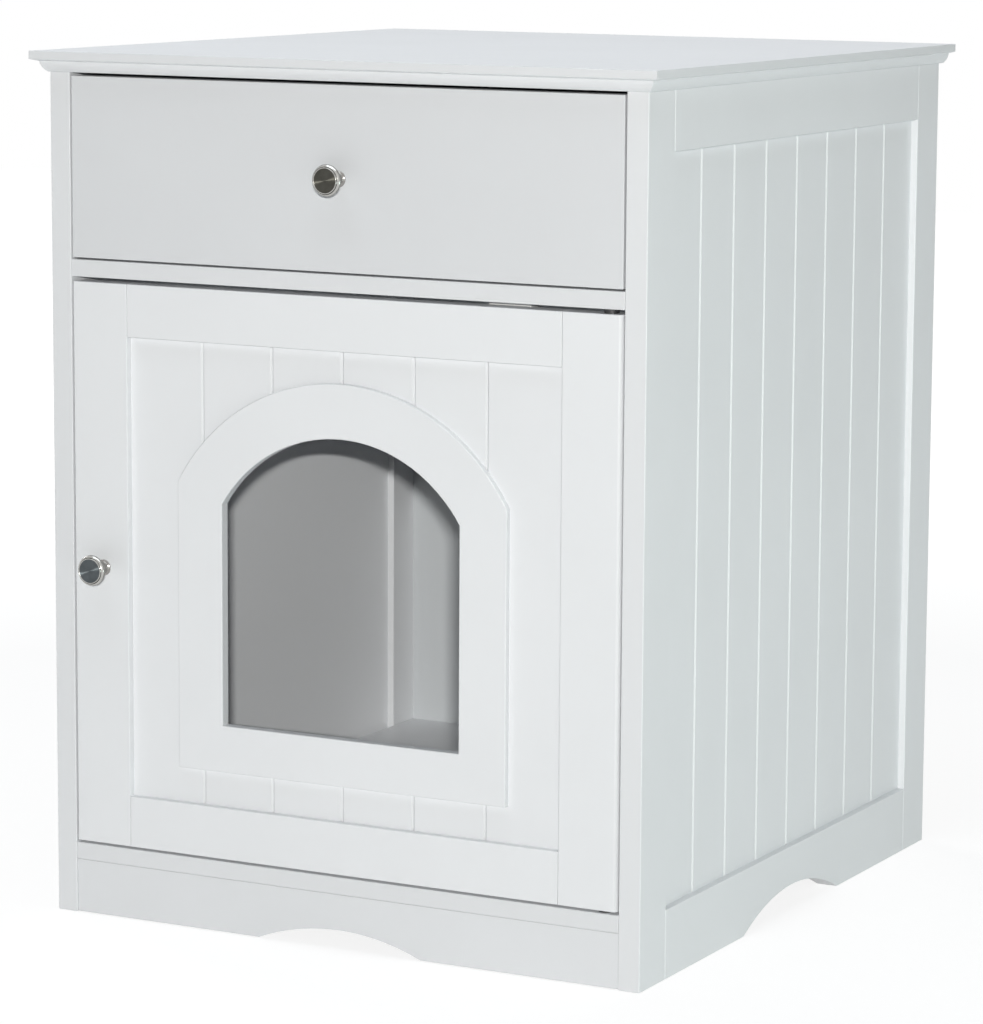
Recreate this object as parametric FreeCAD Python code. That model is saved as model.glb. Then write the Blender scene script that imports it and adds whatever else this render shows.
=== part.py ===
import FreeCAD, Part
import math
import os

# Cat litter box cabinet: a bedside-size cabinet with a drawer over a hinged door, and an arched
# doorway for the cat in the door.  Millimetres, +Z up, front towards -Y.  The origin is on the
# floor, under the centre of the outer box (knobs and top included).

Vector = FreeCAD.Vector
X = Vector(1, 0, 0)
Y = Vector(0, 1, 0)
Z = Vector(0, 0, 1)

# Overall
total_height = 635.0
body_width = 480.0
body_depth = 517.0

# Boards
frame_thickness = 16.5      # side frames and door frame
board_thickness = 12.5      # divider, floor, toe board and rear bottom rail
soft_edge = 0.6             # radius of the sanded, painted edges
face_gap = 0.1              # between a panel or board and the groove or face that holds it
joint_gap = 0.2             # what shows of the joint where the end of a board meets another

# Top panel
top_thickness = 15.0
top_overhang = 11.0         # at the front and the sides
top_back_overhang = 6.0
top_edge_height = 5.9       # the square part of the moulding
top_step_drop = 1.5         # the fall of the step under it
top_step_left = 5.6         # what the step leaves of the overhang
top_cove_bulge = 0.9        # how far the rounded part stands out of its chord
top_underside_flat = 1.0    # flat between the rounded part and the body

# Side frames
stile_width = 41.0
top_rail_width = 42.0
bottom_rail_width = 50.0
side_panel_thickness = 5.5
side_plank_count = 8
side_arch_half_width = 86.0
side_arch_rise = 20.5

# Grooved panels
tongue = 6.0                # how far a panel reaches into the frame round it
tongue_end_gap = 0.5
plank_groove_width = 3.0
plank_groove_depth = 1.3

# Inner boards
drawer_bay_height = 134.7
floor_height = 53.0         # top of the floor board
toe_setback = 0.6
toe_arch_half_width = 67.0
toe_arch_rise = 13.5
toe_floor_gap = 0.5         # under the toe board and the rear bottom rail
back_panel_thickness = 3.0
back_panel_inset = 4.5      # from the back of the stiles
back_groove_depth = 5.0

# Door
door_side_gap = 1.75
door_top_gap = 3.4
door_bottom_gap = 1.8
door_stile_width = 45.6
door_top_rail_width = 38.4
door_bottom_rail_width = 38.0
door_panel_thickness = 3.0
door_panel_recess = 5.5
door_plank_count = 6
door_end_plank_extra = 2.9  # the outer planks are wider than the others by this
door_round_edge = 3.0
door_knob_height = 261.0
door_knob_inset = 24.25     # from the door's left edge

# Cat doorway and the surround on the door's panel
doorway_half_width = 96.8
doorway_bottom = 153.4
doorway_arch_rise = 53.6    # of the arched top over its shoulders
surround_side_share = 0.4688    # of the panel between the doorway and the door's stiles
surround_crown_extra = 2.1  # the surround is wider over the arch than beside it
surround_sill_less = 2.8    # and narrower under the doorway
surround_crown_gap = 22.9   # between the surround and the door's top rail
surround_thickness = 5.0
surround_edge = 0.8

# Door pivots
pivot_inset = 12.0          # from the door's right edge
pivot_pin_radius = 2.5
pivot_running_gap = 0.08
pivot_pin_in_board = 9.0
pivot_pin_in_door = 12.0
bushing_radius = 4.0
bushing_length = 14.0
washer_radius = 5.2
washer_gap = 0.3

# Magnetic catch
catch_width = 33.0
catch_depth = 14.0
catch_height = 14.0
catch_from_pivot = 83.0     # centre of the catch to the pivot
catch_door_gap = 0.5
magnet_width = 13.0
magnet_height = 6.0
magnet_depth = 9.0
catch_screw_spread = 24.0
strike_width = 30.0
strike_height = 9.0
strike_thickness = 1.2
strike_below_door_top = 1.5

# Drawer
drawer_front_thickness = 15.0
drawer_front_side_gap = 1.5
drawer_front_bottom_gap = 1.4
drawer_front_top_gap = 2.4
drawer_side_thickness = 12.0
drawer_side_height = 98.0
drawer_side_length = 455.0
drawer_box_lift = 13.7      # the box's underside over the divider
drawer_bottom_thickness = 3.0
drawer_bottom_lift = 8.0    # over the underside of the sides
drawer_bottom_tongue = 5.0
drawer_travel = 340.0

# Runners
runner_space = 12.7         # on each side of the drawer box
sheet = 1.2
roller_radius = 8.0
roller_width = 7.0
roller_bore_gap = 0.08
rivet_radius = 2.0
rivet_head_radius = 3.2
rivet_head_height = 0.8
rail_length = 480.0
rail_start = 3.0            # behind the drawer front's back face
rail_roller_inset = 19.0    # from the rail's front end, behind its screws
slide_roller_inset = 10.0   # from the slide's rear end
rail_flange_width = 8.8
rail_top_flange_width = 6.3
rail_lift = 2.0             # the rail's running face over the underside of the drawer sides
roller_play = 0.1           # under the slide's roller
rail_roller_lift = 0.3      # under the rail's roller
slide_flange_play = 0.2     # over the rail's roller
slide_flange_gap = 0.8      # between the slide's flange and the rail's top flange
slide_foot_width = 10.0
slide_flange_reach = 8.5    # from the slide's outer face
slide_roller_gap = 1.3      # from the slide's web to its roller
rail_roller_gap = 0.8       # from the rail's web to its roller
rivet_play = 0.4            # between a roller and the shoulder of its rivet
slide_start = 1.0           # behind the drawer front's back face
stop_height = 2.5
stop_length = 6.0
stop_gap = 0.5
stop_web_gap = 2.0
rail_screw_inset = 24.0     # from the front of the front stile
rail_rear_screw_inset = 27.0
rail_screw_spread = 8.0

# Knobs: radii, and heights over the board
knob_reach = 19.0
knob_base_radius = 5.9
knob_base_edge = 0.8        # the straight edge of the base
knob_flare_end = 3.2
knob_flare_sag = 0.4
knob_neck_radius = 4.0
knob_neck_end = 9.5
knob_cove_sag = 0.9
knob_back_radius = 10.6     # where the cove meets the rim
knob_rim_back = 14.6
knob_rim_radius = 11.9
knob_rim_front = 17.2
knob_shoulder_radius = 11.0
knob_crease_radius = 9.6
knob_crease_height = 17.9
knob_crease_width = 0.3     # on each side of its bottom
knob_crease_depth = 0.3     # under the shoulder's inner edge
knob_lip_radius = 9.0
knob_lip_fall = 0.5
knob_face_radius = 8.25
knob_face_sink = 0.4
knob_screw_depth = 9.0      # of the thread in the knob

# Dowels
frame_dowel_radius = 4.0
frame_dowel_length = 30.0
frame_dowel_spread = 16.0
board_dowel_radius = 3.0
board_dowel_in_stile = 8.0
board_dowel_in_board = 16.0
dowel_gap = 0.1             # round a dowel
dowel_end_gap = 0.6

# Cam bolts and cams
bolt_thread_radius = 2.5
bolt_thread_length = 9.0
bolt_neck_radius = 1.5
bolt_neck_length = 2.5
bolt_head_radius = 3.0
bolt_head_length = 2.5
bolt_channel_radius = 3.5
cam_channel_radius = 3.3
board_cam_radius = 6.0
board_cam_height = 9.5
board_cam_reach = 24.0      # from the joint to the cam's centre
frame_cam_radius = 7.5
frame_cam_height = 12.5
frame_cam_reach = 34.0
cam_gap = 0.1
cam_slot_width = 1.8
cam_slot_rim = 2.0          # what the driver slots leave of a cam's radius
board_bolt_inset = 17.0     # from the front of the front stile
board_bolt_rear_inset = 27.0
board_dowel_inset = 31.0
board_dowel_rear_inset = 15.0
top_bolt_inset = 17.0       # from the outer edge of each stile
toe_dowel_heights = (12.0, 30.0)
drawer_cam_heights = (28.0, 78.0)   # over the underside of the drawer sides

# Screws
screw_gap = 0.08
screw_tip_length = 2.0
screw_tip_taper = 1.2
recess_rim = 1.2            # what the cross recess leaves of a head's radius
recess_width = 0.9
recess_depth = 1.0
wood_screw_radius = 1.75
wood_screw_head_radius = 3.6
small_screw_head_radius = 2.6
wood_screw_head_height = 1.8
back_screw_length = 16.0
back_screw_columns = (-0.4, 0.0, 0.4)   # share of the body's width
catch_screw_radius = 1.5
catch_screw_head_radius = 2.8
catch_screw_in_divider = 8.0
strike_screw_length = 9.0
machine_screw_radius = 2.0
machine_screw_head_radius = 4.2
machine_screw_head_height = 2.4
rail_screw_length = 12.0
slide_screw_length = 9.0
slide_screw_places = (0.1, 0.5, 0.9)    # share of the slide's length
drawer_back_screw_length = 30.0
drawer_back_screw_heights = (22.0, 76.0)

# Planes that follow from the sizes
front_y = knob_reach - (knob_reach + body_depth + top_back_overhang) / 2
back_y = front_y + body_depth
side_x = body_width / 2
inner_x = side_x - frame_thickness
frame_mid_x = side_x - frame_thickness / 2
body_top = total_height - top_thickness
divider_top = body_top - drawer_bay_height
divider_z = (divider_top - board_thickness, divider_top)
floor_z = (floor_height - board_thickness, floor_height)
front_stile_y = (front_y, front_y + stile_width)
rear_stile_y = (back_y - stile_width, back_y)
back_panel_y = (back_y - back_panel_inset - back_panel_thickness, back_y - back_panel_inset)
board_back_y = back_panel_y[0] - face_gap
door_x = inner_x - door_side_gap
door_y = (front_y, front_y + frame_thickness)
door_z = (floor_height + door_bottom_gap, divider_z[0] - door_top_gap)
pivot_x = door_x - pivot_inset
pivot_y = (door_y[0] + door_y[1]) / 2
toe_y = (front_y + toe_setback, front_y + toe_setback + board_thickness)
rear_rail_y = (board_back_y - board_thickness, board_back_y)


# ------------------------------------------------------------------ solids
def block(x, y, z):
    """A square-edged box between the low and high value of each pair."""
    corner = Vector(x[0], y[0], z[0])
    return Part.makeBox(x[1] - x[0], y[1] - y[0], z[1] - z[0], corner)


def board(x, y, z):
    """A box whose edges are all softened as sanded, painted board is."""
    plain = block(x, y, z)
    return plain.makeFillet(soft_edge, plain.Edges)


def rod(radius, start, end):
    """A cylinder from start to end."""
    along = end - start
    return Part.makeCylinder(radius, along.Length, start, along)


def face_of(points):
    """A face on a closed outline; a middle point given as a tuple makes that side an arc."""
    edges = []
    corner = points[0]
    for following in points[1:] + [points[0]]:
        if isinstance(following, tuple):
            middle, end = following
            edges.append(Part.Arc(corner, middle, end).toShape())
            corner = end
        else:
            if corner.distanceToPoint(following) > 0:
                edges.append(Part.makeLine(corner, following))
            corner = following
    return Part.Face(Part.Wire(edges))


def placed(shape, at, direction):
    """A shape that was built along +Z from the origin, moved to a point and turned."""
    moved = shape.copy()
    moved.Placement = FreeCAD.Placement(at, FreeCAD.Rotation(Z, direction))
    return moved


def mirrored(shape):
    """The same shape on the other side of the cabinet."""
    return shape.mirror(Vector(0, 0, 0), X)


def both_sides(shapes):
    """The shapes with their mirror images."""
    return shapes + [mirrored(shape) for shape in shapes]


def save(name, shapes):
    """Write one node: a single solid, or a group of separate ones."""
    solids = shapes if isinstance(shapes, list) else [shapes]
    whole = Part.makeCompound(solids) if len(solids) > 1 else solids[0]
    whole.exportStep("parts/" + name + ".step")


def save_pair(name, shape):
    """Write a right-hand piece and its left-hand twin."""
    save("right_" + name, shape)
    save("left_" + name, mirrored(shape))


# --------------------------------------------------------------- fasteners
def pan_screw(radius, head_radius, head_height, length, at, direction, gap=0.0):
    """A screw whose head bears on the point and whose shank runs along the direction.

    With a gap it is the hole for that screw, larger by the gap all round.
    """
    tip = 0.0 if gap else screw_tip_length
    shank = Part.makeCylinder(radius + gap, length - tip + gap)
    head = Part.makeCylinder(head_radius + gap, head_height, Vector(0, 0, -head_height))
    screw = shank.fuse(head)
    if not gap:
        screw = screw.fuse(Part.makeCone(radius, radius - screw_tip_taper, tip,
                                         Vector(0, 0, length - tip)))
        reach = head_radius - recess_rim
        span = (-head_height, recess_depth - head_height)
        narrow = (-recess_width / 2, recess_width / 2)
        screw = screw.cut([block((-reach, reach), narrow, span), block(narrow, (-reach, reach), span)])
    return placed(screw.removeSplitter(), at, direction)


def flat_screw(radius, head_radius, length, at, direction, gap=0.0):
    """A countersunk screw that ends flush at the point and runs along the direction."""
    depth = head_radius - radius
    head = Part.makeCone(head_radius + gap, radius + gap, depth)
    shank = Part.makeCylinder(radius + gap, length - depth + gap, Vector(0, 0, depth))
    return placed(head.fuse(shank).removeSplitter(), at, direction)


def dowel(radius, start, end):
    """A dowel and the hole that it sits in."""
    along = (end - start).normalize() * dowel_end_gap
    return rod(radius, start, end), rod(radius + dowel_gap, start - along, end + along)


def cam_joint(at, along, into_face, cam_radius, cam_height, reach, depth):
    """A bolt in the first board, the cam that draws it in, and their holes.

    at is where the bolt leaves the first board, along its direction into the second one,
    into_face points into the second board from the face that shows the cam, and depth is how
    far the bolt's axis lies under that face.
    """
    head_start = reach - bolt_head_length / 2
    neck_start = head_start - bolt_neck_length
    head_end = head_start + bolt_head_length
    thread = rod(bolt_thread_radius, at - along * bolt_thread_length, at)
    stem = rod(bolt_thread_radius, at, at + along * neck_start)
    neck = rod(bolt_neck_radius, at + along * neck_start, at + along * head_start)
    head = rod(bolt_head_radius, at + along * head_start, at + along * head_end)
    bolt = thread.fuse([stem, neck, head]).removeSplitter()
    hole_end = at - along * (bolt_thread_length + dowel_end_gap)
    hole = rod(bolt_thread_radius + screw_gap, hole_end, at)
    channel = rod(bolt_channel_radius, at, at + along * (head_end + dowel_gap))

    mouth = at + along * reach - into_face * depth
    cam = rod(cam_radius, mouth, mouth + into_face * cam_height)
    cam = cam.cut(rod(cam_channel_radius, at, at + along * (head_end + dowel_gap)))
    for across in (along, along.cross(into_face)):
        half = across * (cam_radius - cam_slot_rim)
        cam = cam.cut(rod(cam_slot_width / 2, mouth - half, mouth + half))
    pocket = rod(cam_radius + cam_gap, mouth, mouth + into_face * (cam_height + cam_gap))
    return bolt, cam, hole.fuse([channel, pocket])


# ------------------------------------------------------- grooved panel parts
def plank_grooves(at, across, outward, low, high):
    """V grooves along Z on a panel's face, one at each point of at."""
    cutters = []
    for place in at:
        corners = [
            place + across * (plank_groove_width / 2),
            place + outward * plank_groove_depth,
            place - across * (plank_groove_width / 2),
            place - outward * plank_groove_depth,
        ]
        face = face_of([Vector(p.x, p.y, low) for p in corners])
        cutters.append(face.extrude(Vector(0, 0, high - low)))
    return cutters


def low_arch(half_width, rise, centre, along, length):
    """The cutter for a shallow arch in a board's lower edge, whose arc passes the floor line."""
    radius = (half_width ** 2 + rise ** 2) / (2 * rise)
    middle = Vector(centre.x, centre.y, centre.z + rise - radius)
    return rod(radius, middle - along * (length / 2), middle + along * (length / 2))


# ------------------------------------------------------------------ top panel
def top_panel():
    """The top: one board whose front and side edges are moulded and mitred at the corners."""
    under = body_top
    step = total_height - top_edge_height - top_step_drop

    def side_points(edge, out, place):
        """The moulding from the underside up to the top face, at one edge."""
        flat = place(edge + out * top_underside_flat, under)
        start = place(edge + out * top_step_left, step)
        chord_x = (top_step_left + top_underside_flat) / 2
        chord_z = (step + under) / 2
        run = top_step_left - top_underside_flat
        fall = step - under
        scale = top_cove_bulge / math.hypot(run, fall)
        bulge = place(edge + out * (chord_x + fall * scale), chord_z - run * scale)
        lower = place(edge + out * top_overhang, total_height - top_edge_height)
        round_start = place(edge + out * top_overhang, total_height - soft_edge)
        drop = soft_edge * (1 - math.sqrt(0.5))
        round_middle = place(edge + out * (top_overhang - drop), total_height - drop)
        round_end = place(edge + out * (top_overhang - soft_edge), total_height)
        return flat, bulge, start, lower, round_start, round_middle, round_end

    back = back_y + top_back_overhang
    flat, bulge, start, lower, r1, r2, r3 = side_points(front_y, -1, lambda y, z: Vector(0, y, z))
    outline = [Vector(0, back, under), flat, (bulge, start), lower, r1, (r2, r3),
               Vector(0, back, total_height)]
    half = side_x + top_overhang
    lengthwise = face_of(outline).extrude(X * (2 * half))
    lengthwise.translate(X * -half)

    flat, bulge, start, lower, r1, r2, r3 = side_points(side_x, 1, lambda x, z: Vector(x, 0, z))
    outline = [Vector(0, 0, under), flat, (bulge, start), lower, r1, (r2, r3),
               Vector(0, 0, total_height)]
    crosswise = face_of(outline).extrude(Y * (back - front_y + top_overhang))
    crosswise.translate(Y * (front_y - top_overhang))
    crosswise = crosswise.fuse(mirrored(crosswise)).removeSplitter()
    return lengthwise.common(crosswise)


# ----------------------------------------------------------------- side frame
panel_recess = (frame_thickness - side_panel_thickness) / 2
rail_y = (front_stile_y[1], rear_stile_y[0])
rail_ends_y = (rail_y[0] + joint_gap, rail_y[1] - joint_gap)
top_rail_z = (body_top - top_rail_width, body_top)
bottom_rail_z = (0.0, bottom_rail_width)


def side_panel_block(extra, play):
    """The space of the right-hand side panel, with play round its thickness and edges."""
    reach = tongue + extra
    return block(
        (side_x - panel_recess - side_panel_thickness - play, side_x - panel_recess + play),
        (rail_y[0] - reach, rail_y[1] + reach),
        (bottom_rail_z[1] - reach, top_rail_z[0] + reach),
    )


def side_panel():
    """The grooved panel that the right-hand frame holds."""
    pitch = (rail_y[1] - rail_y[0]) / side_plank_count
    face_x = side_x - panel_recess
    lines = [Vector(face_x, rail_y[0] + pitch * i, 0) for i in range(1, side_plank_count)]
    grooves = plank_grooves(lines, Y, X, 0, body_top)
    return side_panel_block(0, 0).cut(grooves)


def side_frame_dowels():
    """Dowels between rails and stiles of the right-hand frame, with their holes."""
    solid_top = (top_rail_z[0] + tongue + tongue_end_gap + top_rail_z[1]) / 2
    solid_bottom = (bottom_rail_z[0] + bottom_rail_z[1] - tongue - tongue_end_gap) / 2
    pairs = []
    for joint_y in rail_y:
        for middle in (solid_bottom, solid_top):
            for offset in (-frame_dowel_spread / 2, frame_dowel_spread / 2):
                centre = Vector(frame_mid_x, joint_y, middle + offset)
                half = Y * (frame_dowel_length / 2)
                pairs.append(dowel(frame_dowel_radius, centre - half, centre + half))
    return pairs


def top_cam_joints():
    """Bolts in the underside of the top, drawn down by cams in the right-hand stiles."""
    joints = []
    for place_y in (front_y + top_bolt_inset, back_y - top_bolt_inset):
        at = Vector(frame_mid_x, place_y, body_top)
        joints.append(cam_joint(at, -Z, X, frame_cam_radius, frame_cam_height, frame_cam_reach,
                                frame_thickness / 2))
    return joints


def board_cam_joints():
    """Bolts in the right-hand stiles, with cams under the divider and the floor board."""
    joints = []
    for level in (divider_z, floor_z):
        for place_y in (front_y + board_bolt_inset, back_y - board_bolt_rear_inset):
            at = Vector(inner_x, place_y, (level[0] + level[1]) / 2)
            joints.append(cam_joint(at, -X, Z, board_cam_radius, board_cam_height,
                                    board_cam_reach, board_thickness / 2))
    return joints


def board_dowels():
    """Dowels from the right-hand stiles into divider, floor, toe board and rear rail."""
    places = []
    for level in (divider_z, floor_z):
        middle = (level[0] + level[1]) / 2
        places.append((front_y + board_dowel_inset, middle))
        places.append((back_y - board_dowel_rear_inset, middle))
    for height in toe_dowel_heights:
        places.append(((toe_y[0] + toe_y[1]) / 2, height))
        places.append(((rear_rail_y[0] + rear_rail_y[1]) / 2, height))
    pairs = []
    for place_y, place_z in places:
        joint = Vector(inner_x, place_y, place_z)
        start = joint + X * board_dowel_in_stile
        pairs.append(dowel(board_dowel_radius, start, joint - X * board_dowel_in_board))
    return pairs


# ------------------------------------------------------------- drawer planes
drawer_box_bottom = divider_top + drawer_box_lift
drawer_box_x = inner_x - runner_space
drawer_inner_x = drawer_box_x - drawer_side_thickness
drawer_front_y = (front_y, front_y + drawer_front_thickness)
drawer_side_y = (drawer_front_y[1], drawer_front_y[1] + drawer_side_length)
drawer_side_z = (drawer_box_bottom, drawer_box_bottom + drawer_side_height)
drawer_back_y = (drawer_side_y[1] - drawer_side_thickness, drawer_side_y[1])
drawer_bottom_z = (drawer_box_bottom + drawer_bottom_lift,
                   drawer_box_bottom + drawer_bottom_lift + drawer_bottom_thickness)
drawer_front_z = (divider_top + drawer_front_bottom_gap, body_top - drawer_front_top_gap)
drawer_front_x = inner_x - drawer_front_side_gap
drawer_knob_at = Vector(0, front_y, (drawer_front_z[0] + drawer_front_z[1]) / 2)
door_knob_at = Vector(-(door_x - door_knob_inset), front_y, door_knob_height)

# ------------------------------------------------------------- runner planes
running_z = drawer_box_bottom + rail_lift
slide_roller_z = running_z + roller_play + roller_radius
rail_roller_z = running_z + rail_roller_lift + roller_radius
slide_flange_z = rail_roller_z + roller_radius + slide_flange_play
rail_top_z = slide_flange_z + sheet + slide_flange_gap
rail_y_range = (drawer_front_y[1] + rail_start, drawer_front_y[1] + rail_start + rail_length)
slide_y_range = (drawer_side_y[0] + slide_start, drawer_side_y[1])
rail_roller_y = rail_y_range[0] + rail_roller_inset
slide_roller_y = slide_y_range[1] - slide_roller_inset
rail_screws_y = (front_y + rail_screw_inset, back_y - rail_rear_screw_inset)


def rail_screws(gap):
    """Countersunk screws that hold the right-hand rail to the stiles."""
    middle = (running_z + rail_top_z) / 2
    screws = []
    for place_y in rail_screws_y:
        for offset in (-rail_screw_spread / 2, rail_screw_spread / 2):
            at = Vector(inner_x - sheet, place_y, middle + offset)
            screws.append(flat_screw(wood_screw_radius, small_screw_head_radius,
                                     rail_screw_length, at, X, gap))
    return screws


def runner_rail():
    """The cabinet's half of the right-hand runner: a channel open towards the drawer."""
    outer = inner_x
    web = block((outer - sheet, outer), rail_y_range, (running_z - sheet, rail_top_z + sheet))
    lower = block((outer - sheet - rail_flange_width, outer), rail_y_range,
                  (running_z - sheet, running_z))
    upper = block((outer - sheet - rail_top_flange_width, outer), rail_y_range,
                  (rail_top_z, rail_top_z + sheet))
    lift = slide_roller_z - running_z - stop_height
    stand_off = math.sqrt(roller_radius ** 2 - lift ** 2) + stop_gap
    front_stop = slide_roller_y - drawer_travel - stand_off - stop_length
    rear_stop = slide_roller_y + stand_off
    stops = []
    for start in (front_stop, rear_stop):
        stops.append(block((outer - sheet - rail_flange_width, outer - sheet - stop_web_gap),
                           (start, start + stop_length), (running_z, running_z + stop_height)))
    channel = web.fuse([lower, upper] + stops)
    for part in rail_screws(screw_gap) + [rail_rivet(screw_gap)]:
        channel = channel.cut(part)
    return channel.removeSplitter()


def rail_rivet(gap=0.0):
    """The axle of the rail's roller, riveted in the rail's web."""
    start = Vector(inner_x, rail_roller_y, rail_roller_z)
    shoulder = start - X * (sheet + rail_roller_gap + roller_width + rivet_play)
    axle = rod(rivet_radius + gap, start, shoulder)
    if gap:
        return axle
    return axle.fuse(rod(rivet_head_radius, shoulder, shoulder - X * rivet_head_height))


def roller(centre_x, centre_y, centre_z):
    """A nylon roller with a slightly rounded tread, on an axle along X."""
    half = X * (roller_width / 2)
    centre = Vector(centre_x, centre_y, centre_z)
    wheel = rod(roller_radius, centre - half, centre + half)
    rims = [edge for edge in wheel.Edges if isinstance(edge.Curve, Part.Circle)]
    wheel = wheel.makeFillet(soft_edge, rims)
    return wheel.cut(rod(rivet_radius + roller_bore_gap, centre - half * 2, centre + half * 2))


def rail_roller():
    """The roller at the front end of the right-hand rail."""
    centre_x = inner_x - sheet - rail_roller_gap - roller_width / 2
    return roller(centre_x, rail_roller_y, rail_roller_z)


def slide_rivet(gap=0.0):
    """The axle of the slide's roller, riveted in the slide's web."""
    start = Vector(drawer_box_x, slide_roller_y, slide_roller_z)
    shoulder = start + X * (sheet + slide_roller_gap + roller_width + rivet_play)
    axle = rod(rivet_radius + gap, start, shoulder)
    if gap:
        return axle
    return axle.fuse(rod(rivet_head_radius, shoulder, shoulder + X * rivet_head_height))


def slide_roller():
    """The roller at the rear end of the right-hand slide."""
    centre_x = drawer_box_x + sheet + slide_roller_gap + roller_width / 2
    return roller(centre_x, slide_roller_y, slide_roller_z)


def slide_screws(gap):
    """Countersunk screws that hold the right-hand slide to the drawer side."""
    length = slide_y_range[1] - slide_y_range[0]
    middle = (drawer_bottom_z[1] + slide_flange_z) / 2
    screws = []
    for share in slide_screw_places:
        at = Vector(drawer_box_x + sheet, slide_y_range[0] + share * length, middle)
        screws.append(flat_screw(wood_screw_radius, small_screw_head_radius,
                                 slide_screw_length, at, -X, gap))
    return screws


def drawer_slide():
    """The drawer's half of the right-hand runner: a foot, a web and an outward flange."""
    web = block((drawer_box_x, drawer_box_x + sheet), slide_y_range,
                (drawer_box_bottom - sheet, slide_flange_z + sheet))
    foot = block((drawer_box_x - slide_foot_width, drawer_box_x + sheet), slide_y_range,
                 (drawer_box_bottom - sheet, drawer_box_bottom))
    flange = block((drawer_box_x, drawer_box_x + slide_flange_reach), slide_y_range,
                   (slide_flange_z, slide_flange_z + sheet))
    profile = web.fuse([foot, flange])
    for part in slide_screws(screw_gap) + [slide_rivet(screw_gap)]:
        profile = profile.cut(part)
    return profile.removeSplitter()


# -------------------------------------------------------------------- drawer
def drawer_bottom_block(extra, play):
    """The space of the drawer's bottom, with play round its thickness and edges."""
    reach = drawer_bottom_tongue + extra
    return block(
        (-drawer_inner_x - reach, drawer_inner_x + reach),
        (drawer_front_y[1] - reach, drawer_back_y[0] + reach),
        (drawer_bottom_z[0] - play, drawer_bottom_z[1] + play),
    )


def drawer_cam_joints():
    """Bolts in the back of the drawer front, with cams in the right-hand drawer side."""
    joints = []
    for height in drawer_cam_heights:
        at = Vector(drawer_box_x - drawer_side_thickness / 2, drawer_front_y[1],
                    drawer_box_bottom + height)
        joints.append(cam_joint(at, Y, X * -1, board_cam_radius, board_cam_height,
                                board_cam_reach, drawer_side_thickness / 2))
    return joints


def drawer_back_screws(gap):
    """Countersunk screws through the right-hand drawer side into the drawer back."""
    screws = []
    for height in drawer_back_screw_heights:
        at = Vector(drawer_box_x, (drawer_back_y[0] + drawer_back_y[1]) / 2,
                    drawer_box_bottom + height)
        screws.append(flat_screw(wood_screw_radius, wood_screw_head_radius,
                                 drawer_back_screw_length, at, -X, gap))
    return screws


# --------------------------------------------------------------------- knobs
def knob(at):
    """A turned metal knob: flared base, neck, rim, crease, lip and face, with a blind bore."""
    def point(radius, distance):
        return Vector(at.x + radius, at.y - distance, at.z)

    flare = ((knob_base_radius + knob_neck_radius) / 2 - knob_flare_sag,
             (knob_base_edge + knob_flare_end) / 2 - knob_flare_sag)
    cove = ((knob_neck_radius + knob_back_radius) / 2 - knob_cove_sag,
            (knob_neck_end + knob_rim_back) / 2 + knob_cove_sag)
    rim_middle = (knob_rim_back + knob_rim_front) / 2
    shoulder_end = knob_crease_height + knob_crease_depth
    outline = [
        point(0, 0),
        point(knob_base_radius, 0),
        point(knob_base_radius, knob_base_edge),
        (point(*flare), point(knob_neck_radius, knob_flare_end)),
        point(knob_neck_radius, knob_neck_end),
        (point(*cove), point(knob_back_radius, knob_rim_back)),
        (point(knob_rim_radius, rim_middle), point(knob_shoulder_radius, knob_rim_front)),
        point(knob_crease_radius + knob_crease_width, shoulder_end),
        point(knob_crease_radius, knob_crease_height),
        point(knob_crease_radius - knob_crease_width, knob_reach - knob_lip_fall),
        point(knob_lip_radius, knob_reach),
        point(knob_face_radius, knob_reach),
        point(knob_face_radius - knob_face_sink, knob_reach - knob_face_sink),
        point(0, knob_reach - knob_face_sink),
    ]
    turned = face_of(outline).revolve(at, Y, 360)
    bore = rod(machine_screw_radius + screw_gap, at, at - Y * (knob_screw_depth + dowel_end_gap))
    return turned.cut(bore)


def knob_screw(at, thickness, gap=0.0):
    """The machine screw that holds a knob from behind a board of the given thickness."""
    start = at + Y * thickness
    return pan_screw(machine_screw_radius, machine_screw_head_radius, machine_screw_head_height,
                     thickness + knob_screw_depth, start, -Y, gap)


# ---------------------------------------------------------------------- door
door_panel_y = (front_y + door_panel_recess, front_y + door_panel_recess + door_panel_thickness)
door_rail_x = (-(door_x - door_stile_width), door_x - door_stile_width)
door_rail_ends_x = (door_rail_x[0] + joint_gap, door_rail_x[1] - joint_gap)
door_top_rail_z = (door_z[1] - door_top_rail_width, door_z[1])
door_bottom_rail_z = (door_z[0], door_z[0] + door_bottom_rail_width)
catch_x = pivot_x - catch_from_pivot
strike_z = (door_z[1] - strike_below_door_top - strike_height, door_z[1] - strike_below_door_top)

# ------------------------------------------------------ doorway and surround
doorway_radius = (doorway_half_width ** 2 + doorway_arch_rise ** 2) / (2 * doorway_arch_rise)
surround_width = surround_side_share * (door_rail_x[1] - doorway_half_width)
surround_crown = surround_width + surround_crown_extra
surround_half_width = doorway_half_width + surround_width
surround_bottom = doorway_bottom - surround_width + surround_sill_less
surround_radius = doorway_radius + surround_crown
arch_centre_height = door_top_rail_z[0] - surround_crown_gap - surround_radius


def door_panel_block(extra, play):
    """The space of the door's panel, with play round its thickness and edges."""
    reach = tongue + extra
    return block(
        (door_rail_x[0] - reach, door_rail_x[1] + reach),
        (door_panel_y[0] - play, door_panel_y[1] + play),
        (door_bottom_rail_z[1] - reach, door_top_rail_z[0] + reach),
    )


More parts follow.
